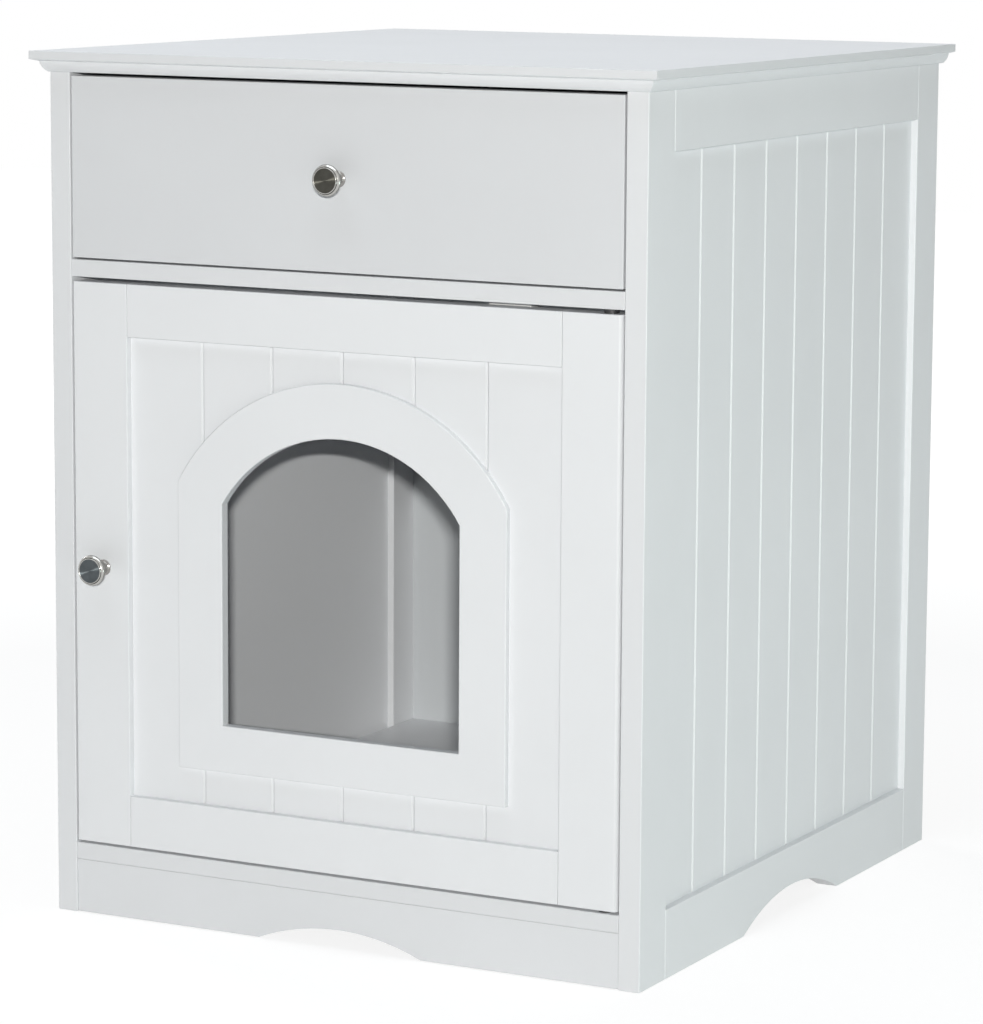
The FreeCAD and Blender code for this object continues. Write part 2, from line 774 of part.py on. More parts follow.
def arched_prism(half_width, bottom, radius, y):
    """A straight-sided shape with a round-arched top, through the depth range y."""
    shoulder = arch_centre_height + math.sqrt(radius ** 2 - half_width ** 2)
    apex = arch_centre_height + radius
    outline = [
        Vector(-half_width, y[0], bottom),
        Vector(half_width, y[0], bottom),
        Vector(half_width, y[0], shoulder),
        (Vector(0, y[0], apex), Vector(-half_width, y[0], shoulder)),
    ]
    return face_of(outline).extrude(Vector(0, y[1] - y[0], 0))


def doorway(y):
    """The cat's doorway as a cutter through the depth range y."""
    return arched_prism(doorway_half_width, doorway_bottom, doorway_radius, y)


def door_panel():
    """The door's grooved panel with the doorway cut out."""
    first = door_rail_x[0] + door_end_plank_extra
    pitch = -2 * first / door_plank_count
    lines = [Vector(first + pitch * i, door_panel_y[0], 0) for i in range(1, door_plank_count)]
    grooves = plank_grooves(lines, X, -Y, 0, body_top)
    return door_panel_block(0, 0).cut(grooves + [doorway(door_y)])


def arch_surround():
    """The raised surround round the doorway, with softened front edges."""
    y = (door_panel_y[0] - surround_thickness, door_panel_y[0])
    ring = arched_prism(surround_half_width, surround_bottom, surround_radius, y)
    ring = ring.cut(doorway(door_y))
    front_edges = [edge for edge in ring.Edges if edge.BoundBox.YMax < y[0] + surround_edge]
    return ring.makeFillet(surround_edge, front_edges)


def door_frame_dowels():
    """Dowels between the door's rails and stiles, with their holes."""
    solid_top = (door_top_rail_z[0] + tongue + tongue_end_gap + door_top_rail_z[1]) / 2
    solid_bottom = (door_bottom_rail_z[0] + door_bottom_rail_z[1] - tongue - tongue_end_gap) / 2
    pairs = []
    for joint_x in door_rail_x:
        for middle in (solid_bottom, solid_top):
            for offset in (-frame_dowel_spread / 2, frame_dowel_spread / 2):
                centre = Vector(joint_x, pivot_y, middle + offset)
                half = X * (frame_dowel_length / 2)
                pairs.append(dowel(frame_dowel_radius, centre - half, centre + half))
    return pairs


def hinge_stile():
    """The door's right-hand stile, its outer edge rounded so that it turns clear of the frame."""
    x = (door_x - door_stile_width, door_x)
    plain = block(x, door_y, door_z)
    corners = [edge for edge in plain.Edges
               if edge.BoundBox.XMin > x[0] + soft_edge and edge.Length > door_stile_width]
    rounded = plain.makeFillet(door_round_edge, corners)
    sharp = [edge for edge in rounded.Edges if edge.BoundBox.ZLength < soft_edge]
    inner = [edge for edge in rounded.Edges if edge.BoundBox.XMax < x[0] + soft_edge]
    return rounded.makeFillet(soft_edge, sharp + [edge for edge in inner if edge not in sharp])


def pivot_pin(into_board, start):
    """A pivot pin: its seat in a fixed board and its working end in the door's bushing."""
    gap = abs(start - (door_z[1] if into_board > 0 else door_z[0]))
    board_end = Vector(pivot_x, pivot_y, start + into_board * pivot_pin_in_board)
    door_end = Vector(pivot_x, pivot_y, start - into_board * (gap + pivot_pin_in_door))
    return rod(pivot_pin_radius, board_end, door_end)


def pin_hole(into_board, start):
    """The hole in the fixed board for a pivot pin."""
    end = Vector(pivot_x, pivot_y, start + into_board * (pivot_pin_in_board + dowel_end_gap))
    return rod(pivot_pin_radius + screw_gap, Vector(pivot_x, pivot_y, start), end)


def bushings():
    """The sleeves pressed into the hinge stile's ends, and the holes that hold them."""
    sleeves = []
    holes = []
    for end, inward in ((door_z[1], -1), (door_z[0], 1)):
        mouth = Vector(pivot_x, pivot_y, end)
        depth = Vector(0, 0, inward * bushing_length)
        sleeve = rod(bushing_radius, mouth, mouth + depth)
        sleeves.append(sleeve.cut(rod(pivot_pin_radius + pivot_running_gap, mouth, mouth + depth)))
        holes.append(rod(bushing_radius + screw_gap, mouth, mouth + depth))
    return sleeves, holes


def washers():
    """Dark washers that fill the gaps over and under the door at its pivots."""
    rings = []
    for start, inward, gap in ((divider_z[0], -1, door_top_gap), (floor_z[1], 1, door_bottom_gap)):
        face = Vector(pivot_x, pivot_y, start)
        edge = face + Vector(0, 0, inward * (gap - washer_gap))
        ring = rod(washer_radius, face, edge)
        rings.append(ring.cut(rod(pivot_pin_radius + screw_gap, face, edge)))
    return rings


# --------------------------------------------------------------------- catch
catch_y = (door_y[1] + catch_door_gap, door_y[1] + catch_door_gap + catch_depth)
catch_z = (divider_z[0] - catch_height, divider_z[0])


def catch_screws(gap):
    """Two screws that hold the catch up under the divider."""
    screws = []
    for offset in (-catch_screw_spread / 2, catch_screw_spread / 2):
        at = Vector(catch_x + offset, (catch_y[0] + catch_y[1]) / 2, catch_z[0])
        screws.append(flat_screw(catch_screw_radius, catch_screw_head_radius,
                                 catch_height + catch_screw_in_divider, at, Z, gap))
    return screws


def magnet_block(play):
    """The magnet's space in the catch, open towards the door."""
    middle = (strike_z[0] + strike_z[1]) / 2
    return block((catch_x - magnet_width / 2 - play, catch_x + magnet_width / 2 + play),
                 (catch_y[0] - play, catch_y[0] + magnet_depth + play),
                 (middle - magnet_height / 2 - play, middle + magnet_height / 2 + play))


def catch_housing():
    """The white moulded block that holds the magnet."""
    x = (catch_x - catch_width / 2, catch_x + catch_width / 2)
    body = board(x, catch_y, catch_z)
    return body.cut([magnet_block(face_gap)] + catch_screws(screw_gap))


def strike_block(play):
    """The strike plate's space in the back of the door's top rail."""
    return block((catch_x - strike_width / 2 - play, catch_x + strike_width / 2 + play),
                 (door_y[1] - strike_thickness - play, door_y[1] + play),
                 (strike_z[0] - play, strike_z[1] + play))


def strike_screw(gap=0.0):
    """The countersunk screw that holds the strike plate."""
    at = Vector(catch_x, door_y[1], (strike_z[0] + strike_z[1]) / 2)
    return flat_screw(catch_screw_radius, catch_screw_head_radius, strike_screw_length, at,
                      -Y, gap)


# --------------------------------------------------------------- back screws
def back_screws(gap):
    """Screws through the back panel into the divider and the floor board."""
    screws = []
    for level in (divider_z, floor_z):
        for share in back_screw_columns:
            at = Vector(share * body_width, back_panel_y[1], (level[0] + level[1]) / 2)
            screws.append(pan_screw(wood_screw_radius, wood_screw_head_radius,
                                    wood_screw_head_height, back_screw_length, at, -Y, gap))
    return screws


# -------------------------------------------------------------- build and save
def build_carcass():
    """The fixed body of the cabinet."""
    frame_dowels = side_frame_dowels()
    top_joints = top_cam_joints()
    board_joints = board_cam_joints()
    short_dowels = board_dowels()
    frame_holes = [hole for _, hole in frame_dowels]
    top_holes = [joint[2] for joint in top_joints]
    board_holes = [joint[2] for joint in board_joints] + [hole for _, hole in short_dowels]
    panel_groove = side_panel_block(tongue_end_gap, face_gap)

    stile_x = (inner_x, side_x)
    upright = (0.0, body_top)
    back_groove = block(
        (-inner_x - back_groove_depth - face_gap, inner_x + back_groove_depth + face_gap),
        (back_panel_y[0] - face_gap, back_panel_y[1] + face_gap),
        (floor_z[0] - face_gap, body_top),
    )
    front_stile = board(stile_x, front_stile_y, upright)
    rear_stile = board(stile_x, rear_stile_y, upright)
    cutters = frame_holes + top_holes + board_holes + rail_screws(screw_gap) + [panel_groove]
    save_pair("front_stile", front_stile.cut(cutters))
    save_pair("rear_stile", rear_stile.cut(cutters + [back_groove]))

    save_pair("top_rail", board(stile_x, rail_ends_y, top_rail_z).cut(frame_holes + [panel_groove]))
    arch = low_arch(side_arch_half_width, side_arch_rise,
                    Vector(frame_mid_x, (front_y + back_y) / 2, 0), X, 2 * frame_thickness)
    lower_rail = board(stile_x, rail_ends_y, bottom_rail_z)
    save_pair("bottom_rail", lower_rail.cut(frame_holes + [panel_groove, arch]))
    save_pair("side_panel", side_panel())

    save("top_panel", top_panel().cut(both_sides(top_holes)))

    inner_holes = both_sides(board_holes) + back_screws(screw_gap)
    span = (joint_gap - inner_x, inner_x - joint_gap)
    shelf_y = (front_y, board_back_y)
    divider = board(span, shelf_y, divider_z)
    divider_pin_hole = pin_hole(1, divider_z[0])
    save("divider_board", divider.cut(inner_holes + catch_screws(screw_gap) + [divider_pin_hole]))
    floor = board(span, shelf_y, floor_z)
    save("floor_board", floor.cut(inner_holes + [pin_hole(-1, floor_z[1])]))
    under_floor = (toe_floor_gap, floor_z[0] - joint_gap)
    toe_arch = low_arch(toe_arch_half_width, toe_arch_rise,
                        Vector(0, (toe_y[0] + toe_y[1]) / 2, toe_floor_gap), Y,
                        2 * board_thickness)
    save("toe_board", board(span, toe_y, under_floor).cut(inner_holes + [toe_arch]))
    save("rear_bottom_rail", board(span, rear_rail_y, under_floor).cut(inner_holes))
    back_panel = block((-inner_x - back_groove_depth, inner_x + back_groove_depth), back_panel_y,
                       (floor_z[0], body_top - face_gap))
    save("back_panel", back_panel.cut(back_screws(screw_gap)))

    save("side_frame_dowels", both_sides([pin for pin, _ in frame_dowels]))
    save("board_dowels", both_sides([pin for pin, _ in short_dowels]))
    save("cam_bolts", both_sides([joint[0] for joint in top_joints + board_joints]))
    save("cam_locks", both_sides([joint[1] for joint in top_joints + board_joints]))
    save("back_panel_screws", back_screws(0.0))

    save("pivot_pins", [pivot_pin(1, divider_z[0]), pivot_pin(-1, floor_z[1])])
    save("pivot_washers", washers())
    save("catch_housing", catch_housing())
    save("catch_magnet", magnet_block(0))
    save("catch_screws", catch_screws(0.0))

    save_pair("runner_rail", runner_rail())
    save("rail_rivets", both_sides([rail_rivet()]))
    save("rail_screws", both_sides(rail_screws(0.0)))
    save_pair("rail_roller", rail_roller())


def build_drawer():
    """The drawer with its slides and knob."""
    joints = drawer_cam_joints()
    joint_holes = [joint[2] for joint in joints]
    bottom_groove = drawer_bottom_block(tongue_end_gap, face_gap)

    front = board((-drawer_front_x, drawer_front_x), drawer_front_y, drawer_front_z)
    knob_hole = knob_screw(drawer_knob_at, drawer_front_thickness, screw_gap)
    save("drawer_front", front.cut(both_sides(joint_holes) + [bottom_groove, knob_hole]))
    side = board((drawer_inner_x, drawer_box_x), drawer_side_y, drawer_side_z)
    side_cutters = joint_holes + slide_screws(screw_gap) + drawer_back_screws(screw_gap)
    save_pair("drawer_side", side.cut(side_cutters + [bottom_groove]))
    back = board((-drawer_inner_x, drawer_inner_x), drawer_back_y, drawer_side_z)
    save("drawer_back", back.cut(both_sides(drawer_back_screws(screw_gap)) + [bottom_groove]))
    save("drawer_bottom", drawer_bottom_block(0, 0))
    save("drawer_knob", knob(drawer_knob_at))
    save("drawer_knob_screw", knob_screw(drawer_knob_at, drawer_front_thickness))
    save("drawer_cam_bolts", both_sides([joint[0] for joint in joints]))
    save("drawer_cam_locks", both_sides([joint[1] for joint in joints]))
    save("drawer_back_screws", both_sides(drawer_back_screws(0.0)))
    save_pair("drawer_slide", drawer_slide())
    save("slide_rivets", both_sides([slide_rivet()]))
    save("slide_screws", both_sides(slide_screws(0.0)))
    save_pair("slide_roller", slide_roller())


def build_door():
    """The door with its pivots' bushings, surround and knob."""
    frame_pins = door_frame_dowels()
    holes = [hole for _, hole in frame_pins]
    panel_groove = door_panel_block(tongue_end_gap, face_gap)
    sleeves, sleeve_holes = bushings()
    save("door_hinge_stile", hinge_stile().cut(holes + sleeve_holes + [panel_groove]))
    knob_stile = board((-door_x, -(door_x - door_stile_width)), door_y, door_z)
    knob_hole = knob_screw(door_knob_at, frame_thickness, screw_gap)
    save("door_knob_stile", knob_stile.cut(holes + [panel_groove, knob_hole]))
    top_rail = board(door_rail_ends_x, door_y, door_top_rail_z)
    strike_holes = [strike_block(face_gap), strike_screw(screw_gap)]
    save("door_top_rail", top_rail.cut(holes + strike_holes + [panel_groove]))
    bottom_rail = board(door_rail_ends_x, door_y, door_bottom_rail_z)
    save("door_bottom_rail", bottom_rail.cut(holes + [panel_groove]))
    save("door_panel", door_panel())
    save("arch_surround", arch_surround())
    save("door_frame_dowels", [pin for pin, _ in frame_pins])
    save("door_knob", knob(door_knob_at))
    save("door_knob_screw", knob_screw(door_knob_at, frame_thickness))
    save("pivot_bushings", sleeves)
    save("strike_plate", strike_block(0).cut(strike_screw(screw_gap)))
    save("strike_screw", strike_screw())


os.makedirs("parts", exist_ok=True)
build_carcass()
build_drawer()
build_door()
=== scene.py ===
"""Looks of a white litter box cabinet: painted boards, turned nickel knobs and its fittings."""

import logging
import math
from dataclasses import dataclass
from enum import Enum
from typing import NamedTuple

import bmesh
import bpy
from mathutils import Matrix, Vector

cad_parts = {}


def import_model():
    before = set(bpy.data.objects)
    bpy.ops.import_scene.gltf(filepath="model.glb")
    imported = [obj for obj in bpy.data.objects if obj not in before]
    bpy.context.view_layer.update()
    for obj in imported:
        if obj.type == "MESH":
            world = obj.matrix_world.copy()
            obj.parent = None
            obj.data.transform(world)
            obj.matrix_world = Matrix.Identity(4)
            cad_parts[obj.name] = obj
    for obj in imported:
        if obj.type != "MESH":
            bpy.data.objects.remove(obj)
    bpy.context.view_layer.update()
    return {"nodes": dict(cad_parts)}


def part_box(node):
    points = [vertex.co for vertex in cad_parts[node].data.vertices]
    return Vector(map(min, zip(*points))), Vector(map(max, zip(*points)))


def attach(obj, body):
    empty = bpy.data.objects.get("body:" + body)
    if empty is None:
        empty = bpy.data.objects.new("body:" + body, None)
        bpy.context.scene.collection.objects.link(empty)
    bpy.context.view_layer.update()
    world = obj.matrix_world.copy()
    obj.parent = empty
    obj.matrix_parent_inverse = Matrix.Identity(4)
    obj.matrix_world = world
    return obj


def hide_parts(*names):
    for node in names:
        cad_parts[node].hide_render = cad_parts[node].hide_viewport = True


log = logging.getLogger("cabinet")

Colour = tuple[float, float, float]
Triple = tuple[float, float, float]
Span = tuple[float, float]
Socket = bpy.types.NodeSocket

MM = 0.001
WHITE: Colour = (0.79, 0.80, 0.82)
FULL: Span = (0.0, 1.0)
# Most values of a noise lie between these two.
NOISE_MIDDLE: Span = (0.3, 0.7)


class Axis(Enum):
    """The three directions of the cabinet."""

    ACROSS = Vector((1.0, 0.0, 0.0))
    DEPTH = Vector((0.0, 1.0, 0.0))
    UP = Vector((0.0, 0.0, 1.0))


@dataclass(frozen=True)
class Pattern:
    """A soft random pattern: cells to the metre, octaves and how strong the fine octaves are."""

    cells: float
    octaves: float
    fineness: float = 0.5


@dataclass(frozen=True)
class Relief:
    """A raised pattern: the share of it that is used, and its height in metres."""

    share: float
    height: float


def scaled(colour: Colour, share: float) -> Colour:
    """The colour with each channel multiplied by a share."""
    return tuple(channel * share for channel in colour)


def opaque(colour: Colour) -> tuple[float, float, float, float]:
    """The colour with full alpha."""
    return (*colour, 1.0)


def sided(*names: str) -> list[str]:
    """Each name with left_ and right_ in front."""
    return [side + name for name in names for side in ("left_", "right_")]


def set_out(name: str, data: bpy.types.ID) -> bpy.types.Object:
    """Put a new object in the scene.

    Args:
        name: The object's name.
        data: Its mesh, lamp or camera.

    Returns:
        The new object, at the origin.
    """
    piece = bpy.data.objects.new(name, data)
    bpy.context.scene.collection.objects.link(piece)
    return piece


def set_out_shape(name: str, shape: bmesh.types.BMesh) -> bpy.types.Object:
    """Make an object of a finished shape, and free the shape.

    Args:
        name: The name of the object and of its mesh.
        shape: The finished shape.

    Returns:
        The new object, at the origin.
    """
    mesh = bpy.data.meshes.new(name)
    shape.to_mesh(mesh)
    shape.free()
    return set_out(name, mesh)


# ---------------------------------------------------------------- node helpers
class Graph:
    """A short way to lay and wire the nodes of one tree."""

    # Where a Mix node keeps its two colours and the blended one.
    COLOUR_INPUTS = (6, 7)
    COLOUR_RESULT = 2

    def __init__(self, tree: bpy.types.NodeTree, output: str) -> None:
        """Empty a tree and lay its output.

        Args:
            tree: The tree of a material or of the sky.
            output: The output node's type without its ShaderNode prefix.
        """
        self.tree = tree
        self.tree.nodes.clear()
        self.output = self.add(output)

    def add(self, kind: str, **settings: object) -> bpy.types.Node:
        """Lay one node.

        Args:
            kind: The node's type without its ShaderNode prefix.
            **settings: Properties of the node, or values of its inputs where a name starts
                with in_ (underscores stand for spaces).

        Returns:
            The new node.
        """
        node = self.tree.nodes.new("ShaderNode" + kind)
        for key, value in settings.items():
            if key.startswith("in_"):
                node.inputs[key.removeprefix("in_").replace("_", " ")].default_value = value
            else:
                setattr(node, key, value)
        return node

    def wire(self, source: Socket, target: Socket) -> None:
        """Join two sockets."""
        self.tree.links.new(source, target)

    def show(self, shader: bpy.types.Node) -> None:
        """Send a shader to the output."""
        self.wire(shader.outputs[0], self.output.inputs["Surface"])

    def place(self) -> Socket:
        """The point on the piece, in metres."""
        return self.add("TexCoord").outputs["Object"]

    def facing(self, way: Vector) -> Socket:
        """How squarely the surface looks one way, from -1 to 1.

        Args:
            way: The direction, in the piece's own frame.

        Returns:
            The cosine of the angle to that direction.
        """
        node = self.add("VectorMath", operation="DOT_PRODUCT")
        node.inputs[1].default_value = way
        self.wire(self.add("TexCoord").outputs["Normal"], node.inputs[0])
        return node.outputs["Value"]

    def stretched(self, scale: Triple, centre: Triple = (0.0, 0.0, 0.0)) -> Socket:
        """The point on the piece, moved to a centre and stretched.

        Args:
            scale: How much each direction is stretched.
            centre: The point that becomes the origin, in metres.

        Returns:
            The stretched point.
        """
        moved = self.add("VectorMath", operation="SUBTRACT")
        moved.inputs[1].default_value = centre
        self.wire(self.place(), moved.inputs[0])
        grown = self.add("VectorMath", operation="MULTIPLY")
        grown.inputs[1].default_value = scale
        self.wire(moved.outputs[0], grown.inputs[0])
        return grown.outputs[0]

    def length(self, vector: Socket) -> Socket:
        """How long a vector is.

        Args:
            vector: The vector.

        Returns:
            Its length.
        """
        node = self.add("VectorMath", operation="LENGTH")
        self.wire(vector, node.inputs[0])
        return node.outputs["Value"]

    def noise(self, point: Socket, pattern: Pattern) -> Socket:
        """A soft random pattern.

        Args:
            point: Where the pattern is read.
            pattern: Its scale and octaves.

        Returns:
            The pattern's value, about 0.5.
        """
        node = self.add("TexNoise", in_Scale=pattern.cells, in_Detail=pattern.octaves,
                        in_Roughness=pattern.fineness)
        self.wire(point, node.inputs["Vector"])
        return node.outputs["Fac"]

    def ramp(self, value: Socket, result: Span = FULL, over: Span = NOISE_MIDDLE) -> Socket:
        """A value spread over a new range.

        Args:
            value: The value to spread.
            result: What comes out at the two ends.
            over: The values at the two ends.

        Returns:
            The new value, held inside the result's range.
        """
        node = self.add("MapRange", clamp=True, in_From_Min=over[0], in_From_Max=over[1],
                        in_To_Min=result[0], in_To_Max=result[1])
        self.wire(value, node.inputs["Value"])
        return node.outputs[0]

    def mix(self, share: Socket, first: Colour | Socket, second: Colour | Socket) -> Socket:
        """A blend of two colours.

        Args:
            share: How much of the second shows.
            first: A colour, or a socket that gives one.
            second: A colour, or a socket that gives one.

        Returns:
            The blended colour.
        """
        node = self.add("Mix", data_type="RGBA", clamp_factor=True)
        self.wire(share, node.inputs["Factor"])
        for slot, colour in zip(self.COLOUR_INPUTS, (first, second)):
            if isinstance(colour, Socket):
                self.wire(colour, node.inputs[slot])
            else:
                node.inputs[slot].default_value = opaque(colour)
        return node.outputs[self.COLOUR_RESULT]

    def bump(self, height: Socket, relief: Relief, under: Socket | None = None) -> Socket:
        """A relief from a height pattern.

        Args:
            height: The pattern.
            relief: How much of it is used, and how high it stands.
            under: A relief that this one lies on.

        Returns:
            The new normal.
        """
        node = self.add("Bump", in_Strength=relief.share, in_Distance=relief.height)
        self.wire(height, node.inputs["Height"])
        if under is not None:
            self.wire(under, node.inputs["Normal"])
        return node.outputs[0]

    def seen(self) -> Socket:
        """Whether the camera, a mirror or glass looks, or other light falls.

        Returns:
            One for what looks, and zero for other light.
        """
        path = self.add("LightPath")
        total = path.outputs["Is Camera Ray"]
        for name in ("Is Glossy Ray", "Is Transmission Ray"):
            either = self.add("Math", operation="MAXIMUM")
            self.wire(total, either.inputs[0])
            self.wire(path.outputs[name], either.inputs[1])
            total = either.outputs[0]
        return total

    def when_seen(self, unseen: bpy.types.Node, seen: bpy.types.Node) -> bpy.types.Node:
        """A shader that looks otherwise than it lights.

        Args:
            unseen: The shader for other light.
            seen: The shader that the camera, a mirror or glass sees.

        Returns:
            The shader that holds both.
        """
        node = self.add("MixShader")
        self.wire(self.seen(), node.inputs[0])
        self.wire(unseen.outputs[0], node.inputs[1])
        self.wire(seen.outputs[0], node.inputs[2])
        return node


class MaterialGraph(Graph):
    """The nodes of one material."""

    def __init__(self, name: str) -> None:
        """Start an empty material.

        Args:
            name: The material's name.
        """
        self.material = bpy.data.materials.new(name)
        self.material.use_nodes = True
        super().__init__(self.material.node_tree, "OutputMaterial")

    def surface(self, **settings: object) -> bpy.types.Material:
        """Finish the material with its shader.

        Args:
            **settings: Values of the shader's inputs, or sockets that feed them
                (underscores stand for spaces).

        Returns:
            The finished material.
        """
        shader = self.add("BsdfPrincipled")
        for key, value in settings.items():
            socket = shader.inputs[key.replace("_", " ")]
            if isinstance(value, Socket):
                self.wire(value, socket)
            else:
                socket.default_value = value
        self.show(shader)
        return self.material


# -------------------------------------------------------------------- finishes
@dataclass(frozen=True)
class SatinPaint:
    """Sprayed satin paint on fibreboard: faintly rippled, with painted shade on edges and groove
    walls and painted light on a face inside.

    Attributes:
        broad: The direction that the board's broad faces look along.
        inward: Where the face inside the cabinet looks, if the board has one; that face gets
            painted light.
        inside_light_gain: The painted light on that face: its brightness, as a share of the colour.
        inside_light_turn: How squarely a face looks inward where this painted light starts and is
            full.
        edge: Painted shade on the edges and groove walls: their brightness, as a share of the
            colour.
        edge_shade_turn: How squarely a face looks along broad where this painted shade starts and
            is full.
    """

    name: str
    colour: Colour
    broad: Axis
    inward: Vector | None = None
    inside_light_gain: float = 1.09
    inside_light_turn: Span = (0.8, 0.95)
    edge: float = 0.91
    edge_shade_turn: Span = (0.985, 0.90)
    mottle: Pattern = Pattern(cells=9.0, octaves=4.0)
    mottle_shade: float = 0.975
    ripple: Pattern = Pattern(cells=420.0, octaves=2.0)
    ripple_relief: Relief = Relief(share=0.6, height=0.00003)
    swell: Pattern = Pattern(cells=26.0, octaves=2.0)
    swell_relief: Relief = Relief(share=0.5, height=0.00012)
    rough: Span = (0.34, 0.42)
    specular: float = 0.4

    def make(self) -> bpy.types.Material:
        """Build the material.

        Returns:
            The finished material.
        """
        graph = MaterialGraph(self.name)
        ripple = graph.noise(graph.place(), self.ripple)
        swell = graph.bump(graph.noise(graph.place(), self.swell), self.swell_relief)
        return graph.surface(
            Base_Color=self.lit_inside(graph, self.mottle_and_edge_shade(graph)),
            Roughness=graph.ramp(ripple, self.rough),
            Normal=graph.bump(ripple, self.ripple_relief, swell),
            Specular_IOR_Level=self.specular,
        )

    def mottle_and_edge_shade(self, graph: Graph) -> Socket:
        """The mottled colour of the broad faces, with painted shade on the edges and groove walls.

        Args:
            graph: The material's graph.

        Returns:
            The colour of all faces but the one inside, which gets painted light.
        """
        mottle = graph.ramp(graph.noise(graph.place(), self.mottle))
        broad_face = graph.mix(mottle, scaled(self.colour, self.mottle_shade), self.colour)
        # Painted shade: faces that turn away from the broad faces (edges, rounded arrises and
        # groove walls) are made greyer.
        squarely = graph.add("Math", operation="ABSOLUTE")
        graph.wire(graph.facing(self.broad.value), squarely.inputs[0])
        edge_shade_share = graph.ramp(squarely.outputs[0], over=self.edge_shade_turn)
        return graph.mix(edge_shade_share, broad_face, scaled(self.colour, self.edge))

    def lit_inside(self, graph: Graph, outer: Socket) -> Socket:
        """Painted light: a whiter colour on the face that looks into the cabinet.

        Args:
            graph: The material's graph.
            outer: The colour of all other faces.

        Returns:
            The colour of the whole piece.
        """
        if self.inward is None:
            return outer
        # Painted light: the face that looks inward is made whiter than the rest of the board.
        inside = graph.ramp(graph.facing(self.inward), over=self.inside_light_turn)
        return graph.mix(inside, outer, scaled(self.colour, self.inside_light_gain))


@dataclass(frozen=True)
class BackingBoard:
    """Thin fibreboard: white-faced where it shows inside, bare brown fibre outside.

    Attributes:
        outward: Where the bare face looks.
        outside_turn: How squarely a face looks outward where the bare fibre starts and is full.
    """

    name: str
    outward: Vector
    white: Colour = (0.60, 0.62, 0.64)
    bare: Colour = (0.30, 0.20, 0.115)
    bare_light: Colour = (0.40, 0.28, 0.165)
    outside_turn: Span = (0.4, 0.6)
    flecks: Pattern = Pattern(cells=1500.0, octaves=3.0, fineness=0.8)
    fleck_stretch: Triple = (1.0, 1.0, 0.35)
    fleck_span: Span = (0.35, 0.65)
    fibre: Pattern = Pattern(cells=900.0, octaves=6.0, fineness=0.7)
    fibre_relief: Relief = Relief(share=0.5, height=0.00005)
    rough: Span = (0.5, 0.75)
    specular: float = 0.35

    def make(self) -> bpy.types.Material:
        """Build the material.

        Returns:
            The finished material.
        """
        graph = MaterialGraph(self.name)
        fibre = graph.noise(graph.place(), self.fibre)
        flecks = graph.noise(graph.stretched(self.fleck_stretch), self.flecks)
        bare = graph.mix(graph.ramp(flecks, over=self.fleck_span), self.bare, self.bare_light)
        outside = graph.ramp(graph.facing(self.outward), over=self.outside_turn)
        return graph.surface(
            Base_Color=graph.mix(outside, self.white, bare),
            Roughness=graph.ramp(fibre, self.rough),
            Normal=graph.bump(fibre, self.fibre_relief),
            Specular_IOR_Level=self.specular,
        )


@dataclass(frozen=True)
class Beech:
    """Plain hardwood with a fine straight grain along the dowels, which all lie level."""

    name: str
    light: Colour = (0.62, 0.43, 0.25)
    dark: Colour = (0.46, 0.29, 0.15)
    grain: Pattern = Pattern(cells=700.0, octaves=5.0, fineness=0.65)
    grain_stretch: Triple = (0.12, 0.12, 1.0)
    relief: Relief = Relief(share=0.4, height=0.00006)
    rough: Span = (0.55, 0.7)

    def make(self) -> bpy.types.Material:
        """Build the material.

        Returns:
            The finished material.
        """
        graph = MaterialGraph(self.name)
        grain = graph.noise(graph.stretched(self.grain_stretch), self.grain)
        return graph.surface(
            Base_Color=graph.mix(graph.ramp(grain), self.dark, self.light),
            Roughness=graph.ramp(grain, self.rough),
            Normal=graph.bump(grain, self.relief),
        )


@dataclass(frozen=True)
class PlatedSteel:
    """Bright zinc-plated steel with a faint spangle and fine scratches."""

    name: str
    colour: Colour = (0.66, 0.67, 0.68)
    shade: Colour = (0.52, 0.53, 0.55)
    spangle: Pattern = Pattern(cells=380.0, octaves=3.0)
    scratch: Pattern = Pattern(cells=900.0, octaves=4.0)
    scratch_stretch: Triple = (1.0, 0.05, 1.0)
    scratch_relief: Relief = Relief(share=0.35, height=0.00002)
    rough: Span = (0.24, 0.42)

    def make(self) -> bpy.types.Material:
        """Build the material.

        Returns:
            The finished material.
        """
        graph = MaterialGraph(self.name)
        spangle = graph.noise(graph.place(), self.spangle)
        scratch = graph.noise(graph.stretched(self.scratch_stretch), self.scratch)
        return graph.surface(
            Base_Color=graph.mix(graph.ramp(spangle), self.shade, self.colour),
            Metallic=1.0,
            Roughness=graph.ramp(spangle, self.rough),
            Normal=graph.bump(scratch, self.scratch_relief),
        )


@dataclass(frozen=True)
class Lustre:
    """How turned metal shines: its colour, darkened as painted reflection of a dark room, its
    roughness and how strongly it is brushed.
    """

    colour: Colour
    rough: Span
    brushed: float


